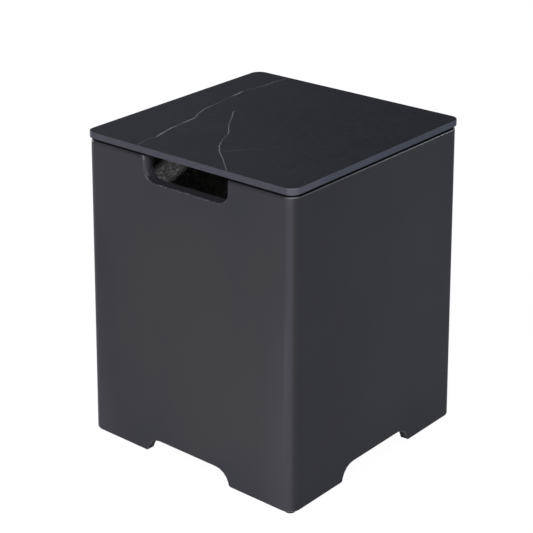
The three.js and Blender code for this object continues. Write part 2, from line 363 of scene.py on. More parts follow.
def outside_masks(recipe, place):
    """Shares of 0 to 1: where the outside turns, faces into a slot, lies near an edge or has another tone, and
    where painted highlights, painted light and painted shade go.
    """
    across, along, up = recipe.axes(place)
    x, y, z = abs(across), abs(along), abs(up)
    normal = recipe.node("TexCoord", output="Normal")
    turned_x, turned_y, turned_z = [abs(axis) for axis in recipe.axes(normal)]
    on_side_wall = recipe.step(x - y, -WALL_DIVIDE, WALL_DIVIDE)
    outward = on_side_wall * turned_x + (1 - on_side_wall) * turned_y
    turning = recipe.step(outward, 0.02, 0.25) * recipe.step(outward, 0.985, 0.85)
    level = recipe.step(turned_z, 0.12, 0.42)
    low_down = recipe.step(z, *LOW_RANGE)
    near_rim = recipe.step(z, *NEAR_RIM_RANGE)

    in_corner = recipe.step(x.lowest(y), *CORNER_RANGE)
    in_round = recipe.step(x.lowest(y), *ROUND_RANGE)
    # Painted highlight on the rounded upright corners: stronger near the rim, weaker low down and strongest at
    # the left corners
    corner = in_corner * recipe.step(turned_y, 0.53, 0.78) * recipe.step(turned_y, 1.01, 0.85)
    at_left = recipe.step(across, *LEFT_CORNER_RANGE)
    corner = corner * (0.45 + 0.30 * near_rim - 0.08 * low_down + 0.28 * at_left)
    # Painted light on the front and back faces beside the upright corners, strongest low down
    painted_light_beside_corner = recipe.step(x, *BESIDE_CORNER_RANGE) * recipe.step(turned_y, 0.90, 0.97)

    facing_along = recipe.step(outward, 0.45, 0.15) * recipe.step(z, *SLOT_RANGE)
    # Slot end faces, full near the outer face and fading deeper in, as painted light
    slot_end = facing_along * recipe.step(turned_z, 0.75, 0.45) * recipe.step(x.highest(y), *SLOT_END_RANGE)

    middle_right, middle_up = MIDDLE
    middle = recipe.step(abs(across - middle_right), *MIDDLE_WIDTH_RANGE)
    middle = middle * recipe.step(abs(z - middle_up), *MIDDLE_HEIGHT_RANGE)
    # Painted shade on the left part of the front and back walls, at mid height
    painted_shade_left = (1 - on_side_wall) * recipe.step(across, *PAINTED_SHADE_LEFT_RANGE)
    # Painted light towards the back of the side walls, at mid height
    pale = on_side_wall * recipe.step(along, *SIDE_PAINTED_LIGHT_RANGE)
    return {
        "upright_arris": turning * (1 - in_corner) * (1 - level),
        "level_arris": turning * level,
        "slotted_wall": 1 - on_side_wall,
        "end": slot_end,
        # Painted shade on the slot's sill, under the slab
        "painted_shade_on_sill": facing_along * recipe.step(turned_z, 0.70, 0.95),
        "painted_light_at_mouth": recipe.step(x.highest(y), *MOUTH_LIGHT_RANGE),
        "corner": corner,
        # Painted glint on the rim's rounded edge at the upright corners
        "corner_rim_painted_glint": in_round * turning * level,
        "painted_light_beside_corner": painted_light_beside_corner * (0.15 + 0.85 * low_down),
        # Painted shadow of the slab along the top of the front and back walls, away from the corners
        "painted_slab_shadow": (1 - on_side_wall) * (1 - in_round) * recipe.step(z, *SLAB_SHADOW_RANGE),
        # Painted shade on the upper part of the side walls' rim rounding, under the slab
        "side_top_painted_shade": on_side_wall * (1 - in_round) * recipe.step(turned_z, 0.62, 0.88) * near_rim,
        "middle": recipe.blend_values(on_side_wall, middle, 0.35),
        "painted_shade_left": painted_shade_left * recipe.step(abs(z - PAINTED_SHADE_LEFT_LEVEL), *PAINTED_SHADE_LEFT_HEIGHT_RANGE),
        "pale": pale * recipe.step(abs(z - SIDE_PAINTED_LIGHT_LEVEL), *SIDE_PAINTED_LIGHT_HEIGHT_RANGE),
    }


def cast_face():
    """Smooth, sealed outside of the casting: faint upright clouds, fine sand, pinholes and rubbed arrises, with
    painted highlights on corners and edges, painted light beside the corners and in the slots, and painted
    shade under the slab and on the sill.
    """
    recipe = recipe_for("cast_face")
    place = recipe.place()
    upright = recipe.place((1, 1, 0.6))
    masks = outside_masks(recipe, place)
    drift = recipe.noise(upright, CLOUD_SIZE, 5, 0.6)
    clouds = recipe.step(drift + 0.27 * masks["middle"], 0.40, 0.78)
    sand = recipe.noise(place, SAND_SIZE, 2)
    pinholes = specks(recipe, place, PINHOLE_SPACING, PINHOLE_RADIUS, 0.30)
    chalk = specks(recipe, recipe.place((1.03, 0.97, 1)), CHALK_SPACING, CHALK_RADIUS, 0.35)

    chips = recipe.step(recipe.noise(place, CHIP_SIZE, 4, 0.7), 0.46, 0.62) * (1 - 0.85 * masks["painted_slab_shadow"])
    # On the side walls the rim's rounded edge gets a painted highlight line; on the front and back walls only
    # chips
    level_chips_and_highlight = recipe.blend_values(masks["slotted_wall"], 0.70, chips) * (1 - masks["side_top_painted_shade"])
    # Rub on the rounded upright arrises, partly real wear and partly painted highlight
    upright_rub_and_highlight = recipe.step(recipe.noise(place, RUB_SIZE, 5, 0.7), 0.30, 0.72)
    rub = (masks["upright_arris"] * upright_rub_and_highlight).highest(masks["level_arris"] * level_chips_and_highlight)
    # Lighter smears on the slot's end faces, fading deeper in, and painted light at the slot's mouth: partly
    # real smears, partly painted light
    smears_and_painted_light = recipe.step(recipe.noise(upright, SMEAR_SIZE, 4, 0.6), 0.40, 0.56)
    smears_and_painted_light = masks["end"] * smears_and_painted_light.highest(masks["painted_light_at_mouth"])
    # Painted highlight at the top of the front slot's left end
    slot_end_highlight = masks["upright_arris"].highest(masks["level_arris"])
    slot_end_highlight = slot_end_highlight * recipe.step(recipe.distance(place, SLOT_END_HIGHLIGHT_SPOT), *SLOT_END_HIGHLIGHT_RANGE)
    # Painted shadow of the slab just below the rim
    painted_shadow = (0.60 * masks["painted_slab_shadow"]).highest(0.70 * masks["side_top_painted_shade"])

    colour = recipe.blend(clouds, shade(51, 51, 58), shade(55, 55, 57))
    colour = recipe.blend(0.30 * sand, colour, shade(66, 66, 71))
    # Painted shade on the left part of the front and back walls
    colour = recipe.blend(0.35 * masks["painted_shade_left"], colour, shade(38, 37, 45))
    # Faint painted light towards the back of the side walls
    colour = recipe.blend(0.055 * masks["pale"], colour, shade(88, 91, 98))
    # Painted highlight on the rounded upright corners
    colour = recipe.blend(masks["corner"], colour, shade(80, 79, 86))
    # Painted light beside the upright corners
    colour = recipe.blend(0.22 * masks["painted_light_beside_corner"], colour, shade(80, 80, 84))
    # Smears and painted light on the slot's end faces
    colour = recipe.blend(0.85 * smears_and_painted_light, colour, shade(112, 112, 120))
    # Painted shade on the slot's sill, under the slab
    colour = recipe.blend(0.45 * masks["painted_shade_on_sill"], colour, shade(34, 34, 36))
    # Painted shadow of the slab just below the rim
    colour = recipe.blend(painted_shadow, colour, shade(28, 28, 31))
    # Rubbed arrises: partly real wear, partly painted highlight on the rounded edges
    colour = recipe.blend(0.55 * rub, colour, shade(100, 100, 105))
    # Painted highlight at the top of the front slot's left end
    colour = recipe.blend(0.60 * slot_end_highlight, colour, shade(122, 122, 126))
    # Painted glint on the rim's rounded edge at the upright corners
    colour = recipe.blend(0.55 * masks["corner_rim_painted_glint"], colour, shade(138, 138, 146))
    colour = recipe.blend(0.55 * pinholes, colour, shade(22, 22, 23))
    colour = recipe.blend(0.40 * chalk, colour, shade(112, 112, 112))
    height = 0.5 * sand + 0.5 * recipe.noise(place, RIPPLE_SIZE, 3) - 0.9 * pinholes
    return recipe.finish(
        Base_Color=colour,
        Roughness=0.66 - 0.08 * clouds + 0.10 * sand,
        Specular_IOR_Level=0.0,
        Coat_Weight=0.17 - 0.10 * sand + 0.40 * rub,
        Coat_Roughness=0.32,
        Normal=recipe.bump(height, FACE_RELIEF),
    )


# Inside of the casting
LUMP_SIZE = 0.0045
GRIT_SIZE = 0.0013
INSIDE_RELIEF = 0.0022
FIBRES_PER_METRE = 170
FIBRE_TURNS_PER_METRE = 160
FIBRE_WANDER = 0.006
FIBRE_PATCH_SIZE = 0.016
INSIDE_DIVIDE = 0.010  # as WALL_DIVIDE, on the inside
LIT_PATCH_RANGE = (0.055, 0.095)


def cast_inside():
    """Raw inside of the casting: grey, sprayed rough, with short fibres showing, mostly on the side walls, and
    fewer of them away from the low lamp's lit patch as painted shade.
    """
    recipe = recipe_for("cast_inside")
    place = recipe.place()
    lumps = recipe.noise(place, LUMP_SIZE, 5, 0.65)
    grit = recipe.noise(place, GRIT_SIZE, 3, 0.6)
    wander = recipe.node("VectorMath", {"operation": "MULTIPLY_ADD"}, {
        0: recipe.node("TexNoise", inputs={"Vector": place, "Scale": FIBRE_TURNS_PER_METRE}, output="Color"),
        1: (FIBRE_WANDER,) * 3,
        2: place,
    })
    strands = recipe.node(
        "TexVoronoi", {"feature": "DISTANCE_TO_EDGE"}, {"Vector": wander, "Scale": FIBRES_PER_METRE})
    x, y = [abs(axis) for axis in recipe.axes(place)[:2]]
    on_side_wall = recipe.step(x - y, -INSIDE_DIVIDE, INSIDE_DIVIDE)
    # Painted shade: fewer bright fibres away from where the low lamp lights the wall
    beyond_lit_patch = recipe.step(recipe.distance(place, LIT_PATCH), *LIT_PATCH_RANGE)
    patches = recipe.step(recipe.noise(place, FIBRE_PATCH_SIZE, 2), 0.44, 0.56)
    patches = patches * (0.15 + 0.85 * on_side_wall) * recipe.blend_values(beyond_lit_patch, 1, 0.45)
    fibres = recipe.step(strands, 0.10, 0.04) * patches
    rims = recipe.step(strands, 0.28, 0.12) * patches
    colour = recipe.blend(recipe.step(lumps, 0.35, 0.68), shade(98, 95, 91), shade(130, 126, 121))
    colour = recipe.blend(0.5 * recipe.step(grit, 0.56, 0.70), colour, shade(170, 166, 160))
    colour = recipe.blend(0.60 * rims, colour, shade(50, 48, 46))
    colour = recipe.blend(0.85 * fibres, colour, shade(204, 199, 192))
    return recipe.finish(
        Base_Color=colour,
        Roughness=0.93 - 0.08 * fibres,
        Specular_IOR_Level=0.04,
        Normal=recipe.bump(0.6 * lumps + 0.25 * grit + 0.25 * fibres, INSIDE_RELIEF),
    )


# Veins in the stone, each from front to back. Each point is its place towards the back, its place to the
# right, and how strongly the vein shows there.
MAIN_VEIN = (
    (-0.205, -0.092, 0.30), (-0.175, -0.101, 0.14), (-0.156, -0.099, 0.40), (-0.142, -0.103, 1.00),
    (-0.126, -0.106, 0.66), (-0.109, -0.110, 0.90), (-0.098, -0.110, 0.30), (-0.082, -0.113, 0.60),
    (-0.069, -0.113, 0.98), (-0.053, -0.116, 0.56), (-0.034, -0.125, 0.46), (-0.007, -0.133, 0.44),
    (0.030, -0.137, 0.17), (0.060, -0.142, 0.10), (0.085, -0.145, 1.00), (0.105, -0.146, 0.12),
    (0.139, -0.140, 0.26), (0.167, -0.141, 0.38), (0.195, -0.136, 0.25),
)
SECOND_VEIN = (
    (-0.205, 0.083, 0.45), (-0.190, 0.067, 0.60), (-0.176, 0.053, 0.57), (-0.163, 0.038, 0.95),
    (-0.153, 0.025, 0.86), (-0.140, 0.012, 0.84), (-0.114, -0.007, 0.40), (-0.094, -0.017, 0.22),
    (-0.081, -0.023, 0.44), (-0.066, -0.034, 0.72), (-0.045, -0.052, 0.48), (-0.024, -0.066, 0.45),
    (-0.004, -0.080, 0.74), (0.012, -0.091, 0.00),
)
FAINT_VEIN = (
    (-0.146, 0.025, 0.20), (-0.124, 0.038, 0.22), (-0.106, 0.054, 0.16), (-0.070, 0.080, 0.0),
)
SLAB_REACH = 0.22  # the curves run this far each way from the middle
MAIN_WIDTH = 0.0014  # the faint vein's too
SECOND_WIDTH = 0.0011
VEIN_FADE = 0.004  # past its first and last points
VEIN_WANDER = 0.006
VEIN_WANDER_SIZE = 0.008
VEIN_BREAK_SIZE = 0.006


def curve_value(recipe, along, values, low, high):
    """A value read from a curve through (place, value) points, where both axes are scaled to 0 to 1."""
    span = 2 * SLAB_REACH
    points = [((place + SLAB_REACH) / span, (value - low) / (high - low)) for place, value in values]
    share = (along + SLAB_REACH) / span
    return low + (high - low) * recipe.node("FloatCurve", {"points": points}, {"Value": share})


def vein(recipe, place, points, width, wander):
    """A thin light line that follows its points."""
    across, along = recipe.axes(place)[:2]
    places = [(back, right) for back, right, strength in points]
    strengths = [(back, strength) for back, right, strength in points]
    first = places[0][0]
    last = places[-1][0]
    line = curve_value(recipe, along, places, -SLAB_REACH, SLAB_REACH)
    show = curve_value(recipe, along, strengths, 0, 1)
    inside = recipe.step(along, first - VEIN_FADE, first) * recipe.step(along, last + VEIN_FADE, last)
    gap = abs(across - line + wander)
    core = recipe.step(gap, width, 0.25 * width)
    halo = recipe.step(gap, 3.2 * width, 0)
    return (0.90 * core + 0.08 * halo) * show * inside


# Stone of the slab: sizes, places and depths of its marks
DRIFT_SIZE = 0.10
STREAK_SIZE = 0.016
MOTTLE_SIZE = 0.011
GRAIN_SIZE = 0.0011
TOP_RELIEF = 0.00004
# Painted light across the slab's top
LIGHT_FALLOFF_RANGE = (-0.20, 0.20)  # from the pale front left to the dark back right
SAW_MARK_SIZE = 0.0009
EDGE_PATCH_SIZE = 0.025
EDGE_GRAIN_SIZE = 0.0010
EDGE_RELIEF = 0.00006
NEAR_END_RANGE = (-0.125, -0.160)
FRONT_HALF_RANGE = (0.06, -0.04)
WEAVE_PITCH = 0.006
BACK_CLOUD_SIZE = 0.05
BACK_GRAIN_SIZE = 0.0015
BACK_RELIEF = 0.00015


def stone_top():
    """Face of the slab: near-black stone print with pale veins and faint drifting clouds, under painted light
    that darkens it from the front left to the back right.
    """
    recipe = recipe_for("stone_top")
    place = recipe.place()
    across, along = recipe.axes(place)[:2]
    drift = recipe.noise(recipe.place((0.55, 1, 1)), DRIFT_SIZE, 5, 0.6)
    streaks = recipe.noise(recipe.place((1, 0.22, 1)), STREAK_SIZE, 4, 0.6)
    mottle = recipe.step(recipe.noise(place, MOTTLE_SIZE, 4, 0.7), 0.42, 0.74)
    grain = recipe.noise(place, GRAIN_SIZE, 2)

    wander = VEIN_WANDER * (recipe.noise(place, VEIN_WANDER_SIZE, 3) - 0.5)
    lines = vein(recipe, place, MAIN_VEIN, MAIN_WIDTH, wander)
    lines = lines.highest(vein(recipe, place, SECOND_VEIN, SECOND_WIDTH, wander))
    lines = lines.highest(0.5 * vein(recipe, place, FAINT_VEIN, MAIN_WIDTH, wander))
    breaks = 0.55 + 0.75 * recipe.noise(place, VEIN_BREAK_SIZE, 3)

    clouds = recipe.step(drift, 0.30, 0.70)
    front_left = recipe.blend(clouds, shade(32, 33, 39), shade(37, 38, 44))
    back_right = recipe.blend(clouds, shade(12, 13, 19), shade(18, 19, 25))
    # Painted light: the top darkens from the front left to the back right
    painted_light_falloff = recipe.step(0.46 * across + 0.59 * along, *LIGHT_FALLOFF_RANGE)
    colour = recipe.blend(painted_light_falloff, front_left, back_right)
    colour = recipe.blend(0.16 * streaks, colour, shade(61, 63, 69))
    colour = recipe.blend(0.09 * mottle, colour, shade(72, 71, 80))
    colour = recipe.blend(0.10 * grain, colour, shade(80, 83, 91))
    colour = recipe.blend((lines * breaks).lowest(1), colour, shade(130, 137, 147))
    return recipe.finish(
        Base_Color=colour,
        Roughness=0.50 + 0.08 * drift + 0.06 * grain,
        Specular_IOR_Level=0.01,
        Normal=recipe.bump(grain, TOP_RELIEF),
    )


def stone_edge():
    """Sawn and honed edge of the slab: lighter, with fine marks along it, painted highlights at the corners and
    a bluish painted light on the sides that is lighter towards their front ends.
    """
    recipe = recipe_for("stone_edge")
    place = recipe.place()
    marks = recipe.noise(recipe.place((0.05, 0.05, 1)), SAW_MARK_SIZE, 3, 0.6)
    patches = recipe.noise(recipe.place((1, 1, 0.4)), EDGE_PATCH_SIZE, 3)
    grain = recipe.noise(place, EDGE_GRAIN_SIZE, 2)
    normal = recipe.node("TexCoord", output="Normal")
    turned_x, turned_y, turned_z = [abs(axis) for axis in recipe.axes(normal)]
    # Painted highlight round the corners, brightest on the top easing
    corner_painted_highlight = recipe.step(turned_x.lowest(turned_y), 0.12, 0.55)
    easing = recipe.step(turned_z, 0.10, 0.45)
    # Painted light on the side edges: bluish along them and lighter towards their front ends
    side = recipe.step(turned_x, 0.6, 0.9)
    along = recipe.axes(place)[1]
    near_end = recipe.step(along, *NEAR_END_RANGE)
    pale = side * (0.03 + 0.10 * recipe.step(along, *FRONT_HALF_RANGE) + 0.17 * near_end)

    colour = recipe.blend(recipe.step(marks, 0.3, 0.7), shade(52, 52, 61), shade(64, 64, 75))
    colour = recipe.blend(0.30 * patches, colour, shade(87, 87, 100))
    colour = recipe.blend(0.12 * grain, colour, shade(130, 130, 138))
    # Painted highlights at the corners
    colour = recipe.blend(0.43 * corner_painted_highlight, colour, shade(112, 112, 122))
    colour = recipe.blend(0.80 * corner_painted_highlight * easing, colour, shade(150, 150, 160))
    # Bluish painted light on the side edges, away from their front ends
    colour = recipe.blend(0.45 * side * (1 - near_end), colour, shade(66, 74, 86))
    # Painted light on the side edges, strongest at their front ends
    colour = recipe.blend(pale, colour, shade(112, 113, 128))
    return recipe.finish(
        Base_Color=colour,
        Roughness=0.55 + 0.12 * marks,
        Specular_IOR_Level=0.05,
        Normal=recipe.bump(0.7 * marks + 0.3 * grain, EDGE_RELIEF),
    )


def stone_back():
    """Underside of the slab: plain pressed stone with a faint square pattern from the press belt."""
    recipe = recipe_for("stone_back")
    place = recipe.place()
    ribs = [recipe.node("Math", {"operation": "PINGPONG"}, {0: axis, 1: WEAVE_PITCH}) / WEAVE_PITCH
            for axis in recipe.axes(place)[:2]]
    weave = recipe.step(ribs[0].lowest(ribs[1]), 0.05, 0.30)
    clouds = recipe.noise(place, BACK_CLOUD_SIZE, 4)
    colour = recipe.blend(clouds, shade(58, 58, 61), shade(70, 70, 73))
    colour = recipe.blend(0.3 - 0.3 * weave, colour, shade(88, 88, 90))
    return recipe.finish(
        Base_Color=colour,
        Roughness=0.85 - 0.08 * clouds,
        Specular_IOR_Level=0.2,
        Normal=recipe.bump(weave + 0.3 * recipe.noise(place, BACK_GRAIN_SIZE, 2), BACK_RELIEF),
    )


# Small pieces: their tones from dark to light, gloss, and the size and depth of their grain
RUBBER = {"tones": (shade(20, 20, 21), shade(27, 27, 28)), "rubbed": shade(61, 61, 62),
          "roughness": 0.78, "specular": 0.35, "grain_size": 0.0007, "relief": 0.00005}
NYLON = {"tones": (shade(20, 20, 22), shade(28, 28, 30)), "rubbed": shade(62, 62, 64),
         "roughness": 0.60, "specular": 0.10, "grain_size": 0.0005, "relief": 0.00003}
PLASTIC = {"tones": (shade(34, 35, 38), shade(42, 43, 46)), "rubbed": shade(76, 77, 80),
           "roughness": 0.55, "specular": 0.4, "grain_size": 0.0008, "relief": 0.00006}
FLOW_SIZE = 0.009
EDGE_RUB_SIZE = 0.002
BUBBLES_PER_METRE = 1900
FOAM_CLOUD_SIZE = 0.006
FOAM_RELIEF = 0.0002


def moulded(name, tones, rubbed, roughness, specular, grain_size, relief):
    """Moulded rubber or plastic: a fine spark-eroded grain, faint flow clouds and paler rubbed edges."""
    recipe = recipe_for(name)
    place = recipe.place()
    clouds = recipe.noise(place, FLOW_SIZE, 3)
    grain = recipe.noise(place, grain_size, 2)
    rub = recipe.step(recipe.edge_mask(), 0.08, 0.30) * recipe.noise(place, EDGE_RUB_SIZE, 3)
    colour = recipe.blend(clouds, *tones)
    colour = recipe.blend(0.35 * rub, colour, rubbed)
    return recipe.finish(
        Base_Color=colour,
        Roughness=roughness + 0.10 * grain - 0.05 * clouds,
        Specular_IOR_Level=specular,
        Normal=recipe.bump(grain, relief),
    )


def bond_foam():
    """Grey closed-cell foam: small bubbles of two tones."""
    recipe = recipe_for("bond_foam")
    place = recipe.place()
    cells = recipe.node("TexVoronoi", inputs={"Vector": place, "Scale": BUBBLES_PER_METRE})
    clouds = recipe.noise(place, FOAM_CLOUD_SIZE, 3)
    colour = recipe.blend(recipe.step(cells, 0.15, 0.75), shade(112, 113, 115), shade(146, 147, 149))
    colour = recipe.blend(0.4 * clouds, colour, shade(126, 126, 126))
    return recipe.finish(
        Base_Color=colour,
        Roughness=0.9 - 0.06 * clouds,
        Specular_IOR_Level=0.25,
        Normal=recipe.bump(cells, FOAM_RELIEF),
    )


# What the camera sees of floor and world: white, with a little of the true floor left for its shadow
FLOOR_SHADOW_SHARE = 0.06
FLOOR_WHITE = 1.035
FLOOR_MOTTLE_SIZE = 0.3
SKY_LIGHT = 0.27
SKY_TINT = (0.93, 0.97, 1.06, 1)


def seen_directly(recipe):
    """1 for what the camera, a gloss or a clear surface sees, and 0 for the light that falls on things."""
    rays = [recipe.node("LightPath", output=name)
            for name in ("Is Camera Ray", "Is Glossy Ray", "Is Transmission Ray")]
    return rays[0].highest(rays[1]).highest(rays[2])


def floor_white():
    """White where it is seen, and a matte light grey that gathers the shadow for all other light."""
    recipe = recipe_for("floor_white")
    mottle = recipe.noise(recipe.place(), FLOOR_MOTTLE_SIZE, 2)
    tint = recipe.blend(mottle, (0.68, 0.68, 0.68, 1), (0.72, 0.72, 0.72, 1))
    matte = recipe.node("BsdfDiffuse", inputs={"Color": tint})
    white = recipe.node("Emission", inputs={"Color": (1, 1, 1, 1), "Strength": FLOOR_WHITE})
    share = (1 - FLOOR_SHADOW_SHARE) * seen_directly(recipe)
    shader = recipe.node("MixShader", inputs={0: share, 1: matte, 2: white})
    recipe.node("OutputMaterial", inputs={"Surface": shader})
    return recipe.owner


def make_world():
    """White where it is seen, and a soft sky for the light that falls on things."""
    world = bpy.data.worlds.new("studio")
    bpy.context.scene.world = world
    recipe = Recipe(world)
    soft = recipe.node("Background", inputs={"Color": SKY_TINT, "Strength": SKY_LIGHT})
    white = recipe.node("Background", inputs={"Color": (1, 1, 1, 1), "Strength": 1})
    shader = recipe.node("MixShader", inputs={0: seen_directly(recipe), 1: soft, 2: white})
    recipe.node("OutputWorld", inputs={"Surface": shader})


# Shaping tools

def deselect_all():
    bpy.ops.object.select_all(action="DESELECT")


def activate(piece):
    deselect_all()
    piece.select_set(True)
    bpy.context.view_layer.objects.active = piece


def open_new(name):
    """Names the primitive that was just added and opens it for editing."""
    piece = bpy.context.active_object
    piece.name = name
    bpy.ops.object.mode_set(mode="EDIT")
    return piece


def close_edit():
    bpy.ops.object.mode_set(mode="OBJECT")


def pick(piece, kind, test):
    """Selects just the faces or the edges that pass a test. The piece is open for editing."""
    bpy.ops.mesh.select_mode(type=kind)
    bpy.ops.mesh.select_all(action="DESELECT")
    mesh = bmesh.from_edit_mesh(piece.data)
    for item in mesh.faces if kind == "FACE" else mesh.edges:
        if test(item):
            item.select_set(True)
    bmesh.update_edit_mesh(piece.data)


def is_upright(edge):
    start, end = (vertex.co for vertex in edge.verts)
    return abs((end - start).normalized().z) > ALONG_AXIS


def middle_of(edge):
    return (edge.verts[0].co + edge.verts[1].co) / 2


def is_sharp(edge):
    return len(edge.link_faces) == 2 and edge.calc_face_angle() > SHARP_ANGLE


def bevel(width, segments):
    bpy.ops.mesh.bevel(offset=width, segments=segments, profile=0.5, affect="EDGES", clamp_overlap=False)


def modify(piece, kind, **settings):
    """Adds one modifier and applies it."""
    activate(piece)
    modifier = piece.modifiers.new(kind.lower(), kind)
    for name, value in settings.items():
        setattr(modifier, name, value)
    bpy.ops.object.modifier_apply(modifier=modifier.name)


def cut(piece, cutter):
    modify(piece, "BOOLEAN", operation="DIFFERENCE", solver="EXACT", object=cutter, material_mode="INDEX")
    bpy.data.objects.remove(cutter)


def smooth(piece):
    """Smooth shading that leaves flat faces flat."""
    activate(piece)
    bpy.ops.object.shade_smooth_by_angle(angle=SMOOTH_ANGLE)
    modify(piece, "WEIGHTED_NORMAL", keep_sharp=True)


def joined(pieces):
    deselect_all()
    for piece in pieces:
        piece.select_set(True)
    bpy.context.view_layer.objects.active = pieces[0]
    if len(pieces) > 1:
        bpy.ops.object.join()
    return pieces[0]


def copied(piece, name, matrix):
    """A copy with a mesh of its own, moved by a matrix in its mesh."""
    twin = piece.copy()
    twin.data = piece.data.copy()
    twin.name = name
    bpy.context.scene.collection.objects.link(twin)
    twin.data.transform(matrix)
    if matrix.determinant() < 0:
        twin.data.flip_normals()
    return twin


def quarter_turn(count):
    return Matrix.Rotation(math.radians(90) * count, 4, "Z")


def block(name, low, high):
    """A plain block between two corners, open for editing."""
    low, high = Vector(low), Vector(high)
    deselect_all()
    bpy.ops.mesh.primitive_cube_add(size=2)
    piece = open_new(name)
    bpy.ops.transform.resize(value=(high - low) / 2, center_override=(0, 0, 0))
    bpy.ops.transform.translate(value=(low + high) / 2)
    return piece


def leaning_block(name, bottom, top, half_at_bottom, half_at_top):
    """A square block whose sides lean evenly, open for editing."""
    half = half_at_bottom
    piece = block(name, (-half, -half, bottom), (half, half, top))
    pick(piece, "FACE", lambda face: face.normal.z > ALONG_AXIS)
    ratio = half_at_top / half_at_bottom
    bpy.ops.transform.resize(value=(ratio, ratio, 1), center_override=(0, 0, top))
    return piece


def turned(name, profile):
    """A solid of revolution about Z, made by raising a disc through (radius, height) pairs."""
    radius, height = profile[0]
    deselect_all()
    bpy.ops.mesh.primitive_circle_add(vertices=BUTTON_SEGMENTS, radius=radius, fill_type="NGON")
    piece = open_new(name)
    bpy.ops.transform.translate(value=(0, 0, height))
    for next_radius, next_height in profile[1:]:
        bpy.ops.mesh.extrude_region_move(TRANSFORM_OT_translate={"value": (0, 0, next_height - height)})
        ratio = next_radius / radius
        bpy.ops.transform.resize(value=(ratio, ratio, 1), center_override=(0, 0, next_height))
        radius, height = next_radius, next_height
    bpy.ops.mesh.select_all(action="SELECT")
    bpy.ops.mesh.normals_make_consistent(inside=False)
    return piece


# Cast body

def inner_half_at(level):
    share = (level - FOOT_LEVEL) / (RIM_LEVEL - FOOT_LEVEL)
    return INNER_FOOT_HALF + (INNER_RIM_HALF - INNER_FOOT_HALF) * share


def front_cutter(name, half_width, offset, bottom, top, radius, segments, rounded_end):
    """A block that opens the front wall, with the two corners at its rounded end made round."""
    reach = INNER_RIM_HALF - CUT_OVERRUN
    piece = block(name, (-half_width, -FOOT_HALF - CUT_OVERRUN, bottom), (half_width, -reach, top))
    pick(piece, "EDGE", lambda edge: not is_upright(edge)
         and abs(middle_of(edge).x) > OUTER_SHARE * half_width
         and abs(middle_of(edge).z - rounded_end) < CUT_OVERRUN / 2)
    bevel(radius, segments)
    bpy.ops.mesh.select_all(action="SELECT")
    bpy.ops.transform.translate(value=(offset, 0, 0))
    close_edit()
    return piece


def opening_cutters():
    """Both hand slots and all four floor arches, as one cutter."""
    crown = FOOT_LEVEL + ARCH_HEIGHT
    slot = front_cutter(
        "slot_cutter", SLOT_WIDTH / 2, SLOT_OFFSET, SILL_LEVEL, RIM_LEVEL + CUT_OVERRUN,
        SLOT_CORNER_RADIUS, SLOT_SEGMENTS, SILL_LEVEL)
    arch = front_cutter(
        "arch_cutter", ARCH_WIDTH / 2, 0, FOOT_LEVEL - CUT_OVERRUN, crown,
        ARCH_CORNER_RADIUS, ARCH_SEGMENTS, crown)
    others = [copied(slot, "slot_cutter_back", quarter_turn(2))]
    others += [copied(arch, f"arch_cutter_{count}", quarter_turn(count)) for count in (1, 2, 3)]
    return joined([slot, arch, *others])


def rough_core():
    """The hollow's mould: a leaning round-cornered block with a rough skin."""
    bottom = FOOT_LEVEL - CUT_OVERRUN
    top = RIM_LEVEL + CUT_OVERRUN
    core = leaning_block("core", bottom, top, inner_half_at(bottom), inner_half_at(top))
    pick(core, "EDGE", is_upright)
    bevel(INNER_CORNER_RADIUS, CORNER_SEGMENTS)
    close_edit()
    modify(core, "REMESH", mode="VOXEL", voxel_size=ROUGH_CELL)
    lumps = bpy.data.textures.new("sprayed_lumps", "CLOUDS")
    lumps.noise_scale = ROUGH_PATCH
    lumps.noise_depth = 2
    modify(core, "DISPLACE", texture=lumps, texture_coords="LOCAL", strength=ROUGH_HEIGHT, mid_level=0.5)
    return core


def stem_hole(node, size, level, direction):
    """A blind hole for a node's stem, drilled from a level up (direction 1) or down (direction -1)."""
    low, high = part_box(node)
    depth = size["stem_length"] + HOLE_END_CLEARANCE
    radius = size["stem"] / 2 + BARB_HEIGHT + STEM_CLEARANCE
    ends = sorted((level - direction * CUT_OVERRUN, level + direction * depth))
    hole = turned(f"hole_{node}", [(radius, ends[0]), (radius, ends[1])])
    bpy.ops.mesh.select_all(action="SELECT")
    middle = (low + high) / 2
    bpy.ops.transform.translate(value=(middle.x, middle.y, 0))
    close_edit()
    return hole


